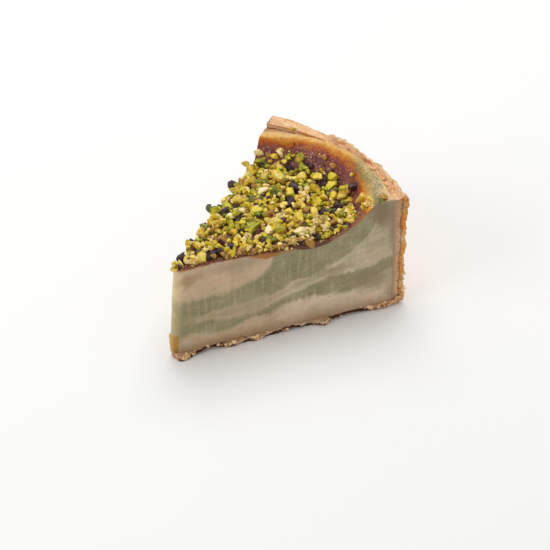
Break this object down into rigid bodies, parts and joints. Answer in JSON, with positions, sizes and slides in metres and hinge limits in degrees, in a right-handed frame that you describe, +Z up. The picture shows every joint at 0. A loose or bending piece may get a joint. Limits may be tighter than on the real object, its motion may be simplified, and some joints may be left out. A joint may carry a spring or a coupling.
{
  "type": "custard tart slice",
  "caption": "Wedge of deep custard tart in a thin flaky pastry shell, its sunken browned top heaped with chopped pistachios.",
  "frame": {"origin": "middle of the bounding box's underside, where the base rests", "axes": "+X from the tip to the crust, midway between the cuts; +Z up"},
  "size_m": [0.1072, 0.084, 0.0623],
  "materials": {
    "baked_pastry": "dry, flaky, browned at the edges",
    "set_custard": "moist cut, cream marbled with grey green, glossy browned skin on top"
  },
  "bodies": {
    "root": {"crust": "baked_pastry", "custard": "set_custard"}
  },
  "joints": []
}
